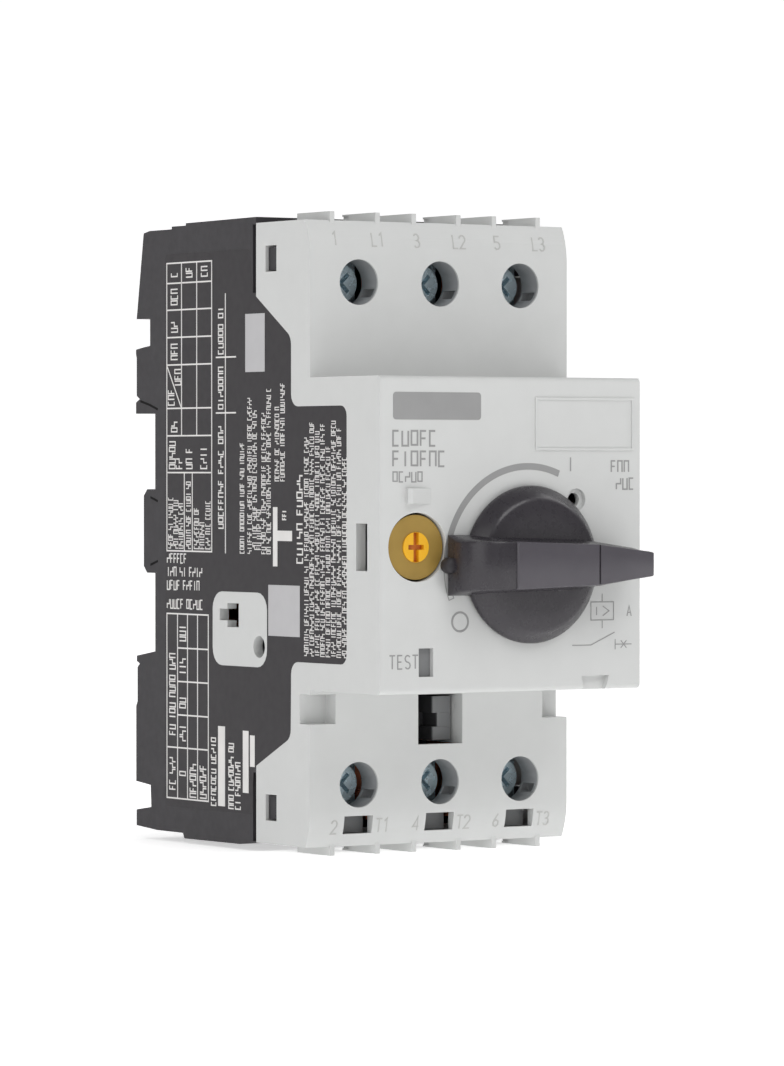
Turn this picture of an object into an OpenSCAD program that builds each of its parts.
// Three-pole motor protection breaker with a rotary handle.
// Origin: centre of the rail seat. X to the right, front towards -Y, Z up.
// Outlines are drawn as (u, z), where u is the depth from the rear feet towards the front.

/* [Body] */
// Overall width
body_w = 45; // [44:0.5:46]
// Wall thickness of both housings
wall = 1.6; // [1.4:0.1:1.8]
// Half height of the front cover
cover_half_h = 45.2; // [45:0.1:45.4]
// Half height of the raised nose
nose_half_h = 22.5; // [22.2:0.1:22.8]
// Depth of the nose panel
nose_u = 68; // [67.5:0.5:69]
// Depth of the terminal wings
wing_u = 49.5; // [49.2:0.1:49.8]
// Depth of the parting line between base and cover
parting_u = 34.8; // [34.6:0.1:35]

/* [Rail] */
// Depth of the rail seat
seat_u = 5.8; // [5.6:0.1:6]
// Width of the mounting rail
rail_w = 35; // [35:0.1:35.2]
// Travel of the rail slide
clip_travel = 3.5; // [2:0.5:4]

/* [Terminals] */
// Distance between poles
pitch = 14.1; // [14:0.1:14.2]
// Height of the terminal screws above and below the middle
screw_z = 36.3; // [36:0.1:36.6]
// Radius of the screw access holes
access_r = 3.3; // [3.1:0.1:3.4]
// Radius of the screw shank
shank_r = 1.5; // [1.3:0.1:1.6]

/* [Handle] */
// Handle axis, to the right of the middle
handle_x = 2.8; // [2.4:0.1:3.2]
// Handle axis, height
handle_z = -4.35; // [-4.8:0.05:-4]
// Depth of the handle's front
handle_u = 76; // [75.5:0.5:77]
// Radius of the handle's skirt at the panel
skirt_r = 11.3; // [11:0.1:11.6]

/* [Hidden] */
$fn = 64;

side_x = body_w / 2;
inner_x = side_x - wall;
pole_x = [-pitch, 0, pitch];
screw_at = [for (side = [1, -1]) for (x = pole_x) [x, side * screw_z]];

// Skirts of the cover reach back to this depth between plus and minus skirt_z
skirt_u = 20;
skirt_z = 29.9;
foil_t = 0.15;
plate_u = 34.9;
plate_t = 1.3;
clamp_u = 40.9;
clamp_t = 1.2;
head_t = 2.4;
guide_u = 45;
dial_x = -16.2;
dial_z = -1.75;
dial_r = 4.7;

black = [0.16, 0.155, 0.16];
light_grey = [0.8, 0.8, 0.79];
dark_grey = [0.31, 0.31, 0.32];
copper = [0.75, 0.45, 0.3];
steel = [0.6, 0.62, 0.65];
brass = [0.63, 0.53, 0.3];

// ---- helpers --------------------------------------------------------------

// Extrudes an outline drawn as (u, z) across the width
module slab(x0, x1) translate([x0, seat_u, 0]) mirror([0, 1, 0]) rotate([90, 0, 90])
    linear_extrude(x1 - x0) children();

// Extrudes an outline drawn as (x, z) along the depth
module face_slab(u0, u1) translate([0, seat_u - u0, 0]) rotate([90, 0, 0]) linear_extrude(u1 - u0) children();

module block(x0, x1, u0, u1, z0, z1) translate([x0, seat_u - u1, z0]) cube([x1 - x0, u1 - u0, z1 - z0]);

// Straight round bar along the depth, from u0 at the rear to u1 at the front
module rod_u(x, z, u0, u1, r) translate([x, seat_u - u0, z]) rotate([90, 0, 0]) cylinder(r = r, h = u1 - u0);

module rod_x(u, z, x0, x1, r) translate([x0, seat_u - u, z]) rotate([0, 90, 0]) cylinder(r = r, h = x1 - x0);

// Turned shape along the depth: the outline is (radius, distance in front of u0)
module turned_u(x, z, u0) translate([x, seat_u - u0, z]) rotate([90, 0, 0]) rotate_extrude() children();

module box2(u0, u1, z0, z1) translate([u0, z0]) square([u1 - u0, z1 - z0]);

// Points of an arc round (cu, cz), from angle a0 to a1
function arc(cu, cz, r, a0, a1, n = 5) = [for (i = [0:n])
    let (a = a0 + (a1 - a0) * i / n) [cu + r * cos(a), cz + r * sin(a)]];

function flip_z(points) = [for (i = [len(points) - 1:-1:0]) [points[i][0], -points[i][1]]];

// Rectangle with round corners
module round_box2(u0, u1, z0, z1, r) polygon(concat(
    arc(u1 - r, z1 - r, r, 0, 90), arc(u0 + r, z1 - r, r, 90, 180),
    arc(u0 + r, z0 + r, r, 180, 270), arc(u1 - r, z0 + r, r, 270, 360)));

// ---- outlines -------------------------------------------------------------

wing_curve_h = 5.5;
wing_curve_drop = 1.3;
wing_curve_r = (wing_curve_h * wing_curve_h + wing_curve_drop * wing_curve_drop) / (2 * wing_curve_drop);
wing_curve_a = asin(wing_curve_h / wing_curve_r);
nose_r = 0.7;

// Upper half of the cover's outline, from the nose's middle to the parting line
cover_upper = concat(arc(nose_u - nose_r, nose_half_h - nose_r, nose_r, 0, 90), [[wing_u, nose_half_h]],
    arc(wing_u - wing_curve_r, cover_half_h - wing_curve_h, wing_curve_r, 0, wing_curve_a, 10),
    [[parting_u, cover_half_h]]);

module cover_outline() polygon(concat(flip_z(cover_upper), cover_upper));

module cover_hollow() {
    box2(parting_u - 1, wing_u - wall, -cover_half_h + wall, cover_half_h - wall);
    box2(parting_u - 1, nose_u - wall, -nose_half_h + wall, nose_half_h - wall);
}

// Rear edge of the base, from the top to the bottom
rear_edge = [[parting_u, 46.1], [14.8, 45.95], [14.8, 45.6], [10.7, 45.6],
    [10.7, 45.2], [4.2, 45.2], [2.4, 44.9],
    [0.3, 32], [4.3, 32], [4.3, 27.9], [2.3, 27.7], [0.1, 27.4], [0.1, 26.7], [0.3, 26.1], [0.3, 20.4],
    [1.2, 19.9], [0.1, 19.4], [0.1, 17.7], [seat_u, 17.7], [seat_u, 6.3], [3.4, 6.3], [2.4, 5.3],
    [2.4, -5.3], [3.4, -6.3], [seat_u, -6.3], [seat_u, -18.1], [0.3, -18.9], [0.3, -19.7], [1.2, -20.1],
    [0.5, -20.6], [0.5, -25.8], [0.1, -26.5], [0.1, -37.9], [4.4, -38.3], [4.6, -41.6],
    [0.2, -42.2], [0.2, -44.6], [6.4, -45],
    [13.9, -45], [14.3, -45.8], [30.2, -45.7], [parting_u, -45.2]];

label_rear_u = 8.9;
label_top_z = 41.5;
label_outline = concat(arc(label_rear_u + 0.6, label_top_z - 0.6, 0.6, 180, 90, 3),
    arc(32.4, label_top_z - 0.8, 0.8, 90, 0, 3), [[33.8, 35.1]],
    arc(42.4, 27.3, 2, 60, 0, 4), arc(46.2, 20.15, 1.8, 180, 270, 5), arc(57.8, 16.85, 1.5, 90, 0, 5),
    arc(57.8, -17, 1.5, 0, -90, 5), arc(46.2, -20.3, 1.8, 90, 180, 5), arc(42.4, -28.3, 1.9, 0, -60, 4),
    [[34.1, -34.3], [33.6, -41.2], [label_rear_u, -41.2]]);

module label_shape() difference() {
    polygon(label_outline);
    round_box2(22.5, 37.8, -19.6, -8.7, 2.6);
}

// ---- housings -------------------------------------------------------------

bulkhead_x = pitch / 2;
bulkhead_t = 1;

module base_housing() color(black) difference() {
    union() {
        difference() {
            slab(-side_x, side_x) polygon(rear_edge);
            block(-inner_x, inner_x, 7.4, parting_u + 1, -43.6, 43.6);
        }
        for (x = [-bulkhead_x, bulkhead_x])
            block(x - bulkhead_t / 2, x + bulkhead_t / 2, 7, parting_u - 0.5, -43.8, 43.8);
        // Posts that carry the contacts and the magnets
        for (x = pole_x) {
            block(x - 2.5, x + 2.5, 7, seat_contact_u, 21, 27);
            block(x - 2.5, x + 2.5, 7, seat_contact_u, -4, 2);
            block(x - 4, x + 4, 7, 11.4, -24, -14);
        }
        // Snap tongues that show in the cover's side windows
        for (side = [0, 1]) mirror([side, 0, 0]) for (z = [38.2, -41.6]) {
            block(inner_x - 1.4, inner_x + 0.5, 30, parting_u - 0.6, z, z + 3.4);
            block(inner_x - 1.4, inner_x - 0.15, 30, 40.2, z, z + 3.4);
            block(inner_x - 0.5, side_x - 0.45, 37.6, 40.2, z, z + 3.4);
        }
        // Fixed lip that holds the rail from above
        block(-16, 16, 2.9, 4.6, 15.9, 17.8);
    }
    // Room for the cover's skirts
    for (x = [-side_x - 0.4, inner_x])
        block(x, x + wall + 0.4, skirt_u, parting_u + 1, -skirt_z - 0.1, skirt_z + 0.1);
    // Room for the contact bar and the trip bar across the phase walls
    block(-inner_x, inner_x, 19, parting_u, 5, 18.5);
    block(-inner_x, inner_x, 29.4, parting_u, -21.5, -2);
    // Guide of the rail slide
    block(-9.3, 9.3, -1, 3.7, -50, -15);
    block(-9.3, 9.3, -1, 4.8, -18.4 - clip_travel - 0.4, -15);
    block(-4, 4, 3.6, 5.7, -40, -24);
    // Shadow line along the parting, and the dark recess above the foot
    for (x = [-side_x - 1, side_x - 0.5]) for (z = [35, -45])
        block(x, x + 1.5, parting_u - 0.9, parting_u + 1, z, z + 10);
    slab(-side_x - 1, -side_x + foil_t) label_shape();
}

// Thickness of the cover's rim in front of the guide tubes
rim_t = 0.4;
rib_x = 3.9;
rib_t = 0.8;
rib_l = 9;
rib_top = 46.5;

module cover_openings() {
    for (p = screw_at) {
        rod_u(p[0], p[1], guide_u, wing_u + 1, access_r);
        rod_u(p[0], p[1], guide_u, wing_u - rim_t, access_r + 0.6);
    }
    // Wire entries
    for (x = pole_x) for (z = [cover_half_h - wall - 1, -cover_half_h - 1])
        block(x - 3.7, x + 3.7, 36.5, 41.2, z, z + wall + 2);
    // Slots under the lower screws
    for (x = pole_x) block(x - 2.45, x + 2.45, 46, wing_u + 1, -43.4, -40.8);
    // Window of the auxiliary contact socket
    block(-3.87, 3.87, 46, wing_u + 1, -30.8, -23.5);
    // Corner notches beside the nose
    for (x = [-side_x - 1, 18.1]) block(x, x + side_x - 18.1 + 1, wing_u - 2.8, wing_u + 1, -27.4, -23.1);
    // Latch windows in the sides
    for (x = [-side_x - 1, inner_x - 1]) for (z = [38, -41.8]) block(x, x + wall + 2, 37.4, 40.4, z, z + 3.8);
    // Side slot of the nose
    block(-side_x - 1, -inner_x + 1, 61.8, 64.7, -5.1, 1.6);
    // Panel: handle shaft, dial, test window, adjusting hole, notch in the lower edge
    rod_u(handle_x, handle_z, nose_u - wall - 1, nose_u + 1, 3.3);
    rod_u(dial_x, dial_z, nose_u - wall - 1, nose_u + 1, dial_r + 0.2);
    block(-15.95, -13.5, nose_u - wall - 1, nose_u + 1, -20.1, -16.05);
    rod_u(11.2, 4.9, nose_u - 0.7, nose_u + 1, 1.6);
    rod_u(11.2, 4.9, nose_u - wall - 1, nose_u, 1);
    face_slab(nose_u - 1, nose_u + 1) polygon([[12.15, -20.5], [17, -20.5], [16, -24], [12.95, -24]]);
    // Lever slot and pin hole inside the label's window
    for (x = [-side_x - 1]) {
        block(x, x + wall + 2, 26.7, 29.9, -13.9, -10.4);
        block(x, x + wall + 2, 24.5, 27, -12.95, -11.25);
        rod_x(35.6, -16.6, x, x + wall + 2, 1.6);
    }
}

module front_cover() color(light_grey) difference() {
    union() {
        difference() {
            slab(-side_x, side_x) cover_outline();
            slab(-inner_x, inner_x) cover_hollow();
        }
        for (x = [-side_x, inner_x]) block(x, x + wall, skirt_u, parting_u + 0.5, -skirt_z, skirt_z);
        for (x = pole_x) for (side = [-1, 1]) for (end = [0, 1]) mirror([0, 0, end])
            translate([side * rib_x, 0, 0]) block(x - rib_t / 2, x + rib_t / 2, 48.5 - rib_l, 48.4, 44.6, rib_top);
        // Pointer wedge above the dial
        translate([0, seat_u, 4.4]) mirror([0, 1, 0]) linear_extrude(2.2)
            polygon([[-18.2, nose_u - 0.5], [-18.2, nose_u + 0.7], [-17.4, nose_u + 0.8], [-13.9, nose_u],
            [-13.9, nose_u - 0.5]]);
        // Frame of the marking field
        face_slab(nose_u - 0.5, nose_u + 0.2) difference() {
            square_field(0);
            square_field(0.35);
        }
        // Pockets behind the corner notches
        for (side = [0, 1]) mirror([side, 0, 0])
            block(17.2, side_x - 0.5, wing_u - 4.2, wing_u - 0.5, -28.4, -22);
        // Walls beside the socket window
        for (side = [-1, 1]) block(side * 4.5 - 0.6, side * 4.5 + 0.6, 38, wing_u - 1, -30.8, -23.3);
    }
    cover_openings();
    slab(-side_x - 1, -side_x + foil_t) label_shape();
}

module square_field(inset) translate([4 + inset, 12 + inset]) square([17.3 - 2 * inset, 7.6 - 2 * inset]);

module rating_label() color(black) slab(-side_x, -side_x + foil_t) label_shape();

module terminal_guide(side) color(dark_grey) difference() {
    union() {
        translate([0, 0, side * screw_z]) block(1.5 - inner_x, inner_x - 1.5, guide_u, wing_u - wall, -4.4, 4.4);
        for (x = pole_x) rod_u(x, side * screw_z, guide_u, wing_u - rim_t, access_r + 0.5);
    }
    for (x = pole_x) {
        rod_u(x, side * screw_z, guide_u - 1, wing_u, access_r);
        translate([0, 0, side * screw_z]) block(x + 1, x + access_r + 0.9, guide_u + 0.5, wing_u - 1, -2.1, -0.9);
    }
}

module aux_socket() color(dark_grey) difference() {
    block(-3.6, 3.6, 40, 46.5, -30.4, -23.9);
    block(-1.9, 0.4, 43, 47, -31, -23);
    block(-2.6, 1.2, 43, 47, -28.4, -26.4);
}

// ---- current path ---------------------------------------------------------

strip_hw = 3;
strip_t = 1.2;
seat_contact_u = 15;
tip_u = seat_contact_u + strip_t + 1.2;

module line_conductor(x) color(copper) difference() {
    union() {
        block(x - 4.4, x + 4.4, plate_u, plate_u + plate_t, 31, 42);
        block(x - strip_hw, x + strip_hw, seat_contact_u, plate_u + plate_t, 31, 31 + strip_t);
        block(x - strip_hw, x + strip_hw, seat_contact_u, seat_contact_u + strip_t, 18, 31 + strip_t);
        block(x - strip_hw + 0.6, x + strip_hw - 0.6, seat_contact_u, tip_u, 18, 21);
    }
    rod_u(x, screw_z, plate_u - 1, plate_u + plate_t + 1, shank_r + 0.25);
}

module lower_contact(x) color(copper) {
    block(x - strip_hw, x + strip_hw, seat_contact_u, seat_contact_u + strip_t, -11.6, 6);
    block(x - strip_hw + 0.6, x + strip_hw - 0.6, seat_contact_u, tip_u, 3, 6);
}

coil_z = -18;
coil_r = 5;

module load_conductor(x) color(copper) difference() {
    union() {
        block(x - 4.4, x + 4.4, plate_u, plate_u + plate_t, -42.4, -31);
        block(x - strip_hw, x + strip_hw, 26.2, plate_u + plate_t, -42.4, -42.4 + strip_t);
        block(x - strip_hw, x + strip_hw, 26.2, 26.2 + strip_t, -42.4, -27);
    }
    rod_u(x, -screw_z, plate_u - 1, plate_u + plate_t + 1, shank_r + 0.25);
}

module arc_stack(x, z0, z1) {
    for (side = [-1, 1]) block(x + side * 5 - 0.4, x + side * 5 + 0.4, 17.8, 28.6, z0, z1);
    for (i = [0:4]) block(x - 5, x + 5, 18 + i * 2.2, 18.9 + i * 2.2, z0 + 0.5, z1 - 0.5);
}

module arc_chute(x) color(steel) {
    arc_stack(x, 22.4, 30.2);
    arc_stack(x, -7.6, 1.6);
}

module magnet_coil(x) color(copper) {
    turned_u(x, coil_z, 13.2) difference() {
        translate([3, 0]) square([coil_r - 3, 11]);
        for (i = [1:9]) translate([coil_r, i * 1.1]) circle(r = 0.3, $fn = 24);
    }
    block(x - 1, x + 1, seat_contact_u, seat_contact_u + strip_t, -14, -11.6);
}

module magnet_yoke(x) color(steel) difference() {
    slab(x - 5.2, x + 5.2) {
        box2(11.4, 12.8, -25, -12.6);
        box2(11.4, 26, -25, -23.7);
        box2(24.8, 26, -25, -12.6);
    }
    rod_u(x, coil_z, 24, 27, 2.75);
}

module plunger(x) color(steel) {
    rod_u(x, coil_z, 16, 26.8, 2.4);
    rod_u(x, coil_z, 26, 31.2, 1);
}

module bimetal(x) color(steel) block(x + 1.8, x + 4.8, 27.4, 28.2, -34, -9);

module trip_bar() color(dark_grey) {
    rod_x(32.4, -6, -20.4, 20.4, 1.2);
    for (x = pole_x) block(x - 1.5, x + 5.2, 31.8, 33, -19.5, -6);
}

// ---- contact carrier ------------------------------------------------------

module contact_bar() color(dark_grey) {
    block(-19.8, 19.8, 26, 28, 9, 14.5);
    for (x = pole_x) for (side = [-1, 1])
        block(x + side * 4.7 - 0.5, x + side * 4.7 + 0.5, 20, 26.5, 10, 13.5);
    rod_u(handle_x, 11.7, 27, 48.8, 1.6);
}

module moving_contact(x) color(copper) {
    block(x - 2.6, x + 2.6, 20.9, 22, 2.6, 21.2);
    for (z = [3, 18]) block(x - 2.2, x + 2.2, 19.7, 21.2, z, z + 3);
}

module contact_springs() color(steel) for (x = pole_x)
    turned_u(x, 11.75, 22) translate([1.6, 0]) square([0.8, 4]);

// ---- mechanism ------------------------------------------------------------

module mechanism_frame() color(steel) difference() {
    union() {
        block(-10, 15, 56, 57.4, -16, 14);
        block(-10, 15, 38, 57.4, -16, -14.6);
        block(-10, -8.6, 38, 57.4, -16, -1);
    }
    rod_u(handle_x, handle_z, 55, 59, shaft_r + 0.08);
    rod_u(latch_x, latch_z, 55, 59, 1);
}

module main_spring() color(steel) turned_u(-6.3, -11.6, 40) translate([1.1, 0]) difference() {
    square([0.8, 15.8]);
    for (i = [1:9]) translate([0.8, i * 1.55]) circle(r = 0.3, $fn = 24);
}

latch_x = -7;
latch_z = 10;

module latch_pin() color(steel) rod_u(latch_x, latch_z, 50, 58.6, 1);

module latch_lever() color(steel) difference() {
    union() {
        rod_u(latch_x, latch_z, 52.5, 54, 2.6);
        block(latch_x - 1.2, latch_x + 1.2, 52.5, 54, 0.5, latch_z);
    }
    rod_u(latch_x, latch_z, 52, 55, 1.06);
}

// ---- handle ---------------------------------------------------------------

shaft_r = 2.4;
// Heights over the panel: the disc's edge, the arm's underside, the grip's front
disc_h = 3.2;
arm_h = 2.9;
grip_end_r = 6;

// Side view of the grip as (x, height): round pointer end on the left, arm on the right
grip_side = concat([[-14.2, 0.6]],
    arc(-14.2 + grip_end_r, handle_u - nose_u - grip_end_r, grip_end_r, 180, 90, 8),
    [[17, handle_u - nose_u], [17, arm_h + 0.5], [12, arm_h], [9, arm_h - 0.8], [0, 0.6]]);

// Front view of the grip as (x, z)
grip_front = [[-14.2, -4.1], [5, -4], [8, -3.6], [17, -2.1], [17, 2.1], [8, 3.6], [5, 4], [-14.2, 4.1]];

module rotary_handle() color(dark_grey) difference() {
    union() {
        turned_u(handle_x, handle_z, nose_u + 0.3) polygon([[0, 0], [skirt_r, 0], [skirt_r, 0.7],
            [skirt_r - 0.35, 1.2], [skirt_r - 1.8, disc_h - 0.3], [0, disc_h - 0.3]]);
        translate([handle_x, 0, handle_z]) intersection() {
            face_slab(nose_u, handle_u) polygon(grip_front);
            translate([0, seat_u - nose_u, -6]) mirror([0, 1, 0]) linear_extrude(12) polygon(grip_side);
        }
    }
    rod_u(handle_x, handle_z, nose_u - 1, nose_u + 2, shaft_r);
}

module handle_shaft() color(steel) rod_u(handle_x, handle_z, 44, nose_u + 2, shaft_r);

module drive_cam() color(dark_grey) difference() {
    union() {
        rod_u(handle_x, handle_z, 49.4, 52, 8);
        translate([handle_x, 0, handle_z]) face_slab(49.4, 52)
            polygon(concat(arc(0, 0, 17.5, 60, 120, 8), [[0, 0]]));
        rod_u(handle_x, handle_z, 47, 49.6, 4.2);
    }
    rod_u(handle_x, handle_z, 40, 60, shaft_r);
}

// ---- small front pieces ---------------------------------------------------

module dial_ring() color(brass) difference() {
    union() {
        rod_u(dial_x, dial_z, nose_u - 2.2, nose_u - 0.5, dial_r - 0.1);
        rod_u(dial_x, dial_z, nose_u - 4, nose_u - 2, 3);
    }
    rod_u(dial_x, dial_z, nose_u - 1.2, nose_u + 1, 2.15);
}

module dial_core() color([0.96, 0.76, 0.18]) difference() {
    rod_u(dial_x, dial_z, nose_u - 1.2, nose_u - 0.3, 2.15);
    block(dial_x - 0.45, dial_x + 0.45, nose_u - 1, nose_u + 1, dial_z - 2.1, dial_z + 2.1);
    block(dial_x - 1.3, dial_x + 1.3, nose_u - 1, nose_u + 1, dial_z - 0.35, dial_z + 0.35);
}

module test_slider() color(dark_grey) {
    block(-15.6, -13.85, nose_u - 4, nose_u - 0.9, -19.7, -17.9);
    block(-17, -12.4, nose_u - 3.4, nose_u - 2, -20.4, -15.6);
}

// ---- rail slide -----------------------------------------------------------

module din_clip() color(black) {
    block(-9, 9, 0.2, 3.4, -44.6, -17.9);
    block(-9, 9, 2.9, 4.6, -18.4, -16);
    block(-3, 3, 0.2, 3.4, -46, -44);
}

module din_spring() color(steel) translate([0, seat_u - 4.7, -38]) difference() {
    cylinder(r = 0.8, h = 12);
    translate([0, 0, -1]) cylinder(r = 0.45, h = 14);
}

// ---- terminals ------------------------------------------------------------

// Screw with a cross recess; its head rests on the clamp plate
module terminal_screw(i) color(steel) difference() {
    union() {
        rod_u(screw_at[i][0], screw_at[i][1], clamp_u + clamp_t, clamp_u + clamp_t + head_t, 2.8);
        rod_u(screw_at[i][0], screw_at[i][1], 33.6, clamp_u + clamp_t + 0.5, shank_r);
    }
    for (a = [45, 135]) translate([screw_at[i][0], 0, screw_at[i][1]]) rotate([0, a, 0])
        block(-1.9, 1.9, clamp_u + clamp_t + 0.9, clamp_u + clamp_t + head_t + 1, -0.32, 0.32);
}

module clamp_plate(i) color(steel) difference() {
    translate([screw_at[i][0], 0, screw_at[i][1]]) block(-4, 4, clamp_u, clamp_u + clamp_t, -4, 4);
    rod_u(screw_at[i][0], screw_at[i][1], clamp_u - 1, clamp_u + 3, shank_r + 0.1);
}

// ---- drawing --------------------------------------------------------------

base_housing();
front_cover();
rating_label();
terminal_guide(1);  // upper_terminal_guide
terminal_guide(-1);  // lower_terminal_guide
for (i = [0:2]) {
    line_conductor(pole_x[i]);
    lower_contact(pole_x[i]);
    load_conductor(pole_x[i]);
    arc_chute(pole_x[i]);
    magnet_coil(pole_x[i]);
    magnet_yoke(pole_x[i]);
    plunger(pole_x[i]);
    bimetal(pole_x[i]);
    moving_contact(pole_x[i]);
}
contact_bar();
contact_springs();
trip_bar();
mechanism_frame();
main_spring();
latch_lever();
latch_pin();
rotary_handle();
handle_shaft();
drive_cam();
dial_ring();
dial_core();
test_slider();
aux_socket();
din_clip();
din_spring();
for (i = [0:5]) {
    terminal_screw(i);
    clamp_plate(i);
}
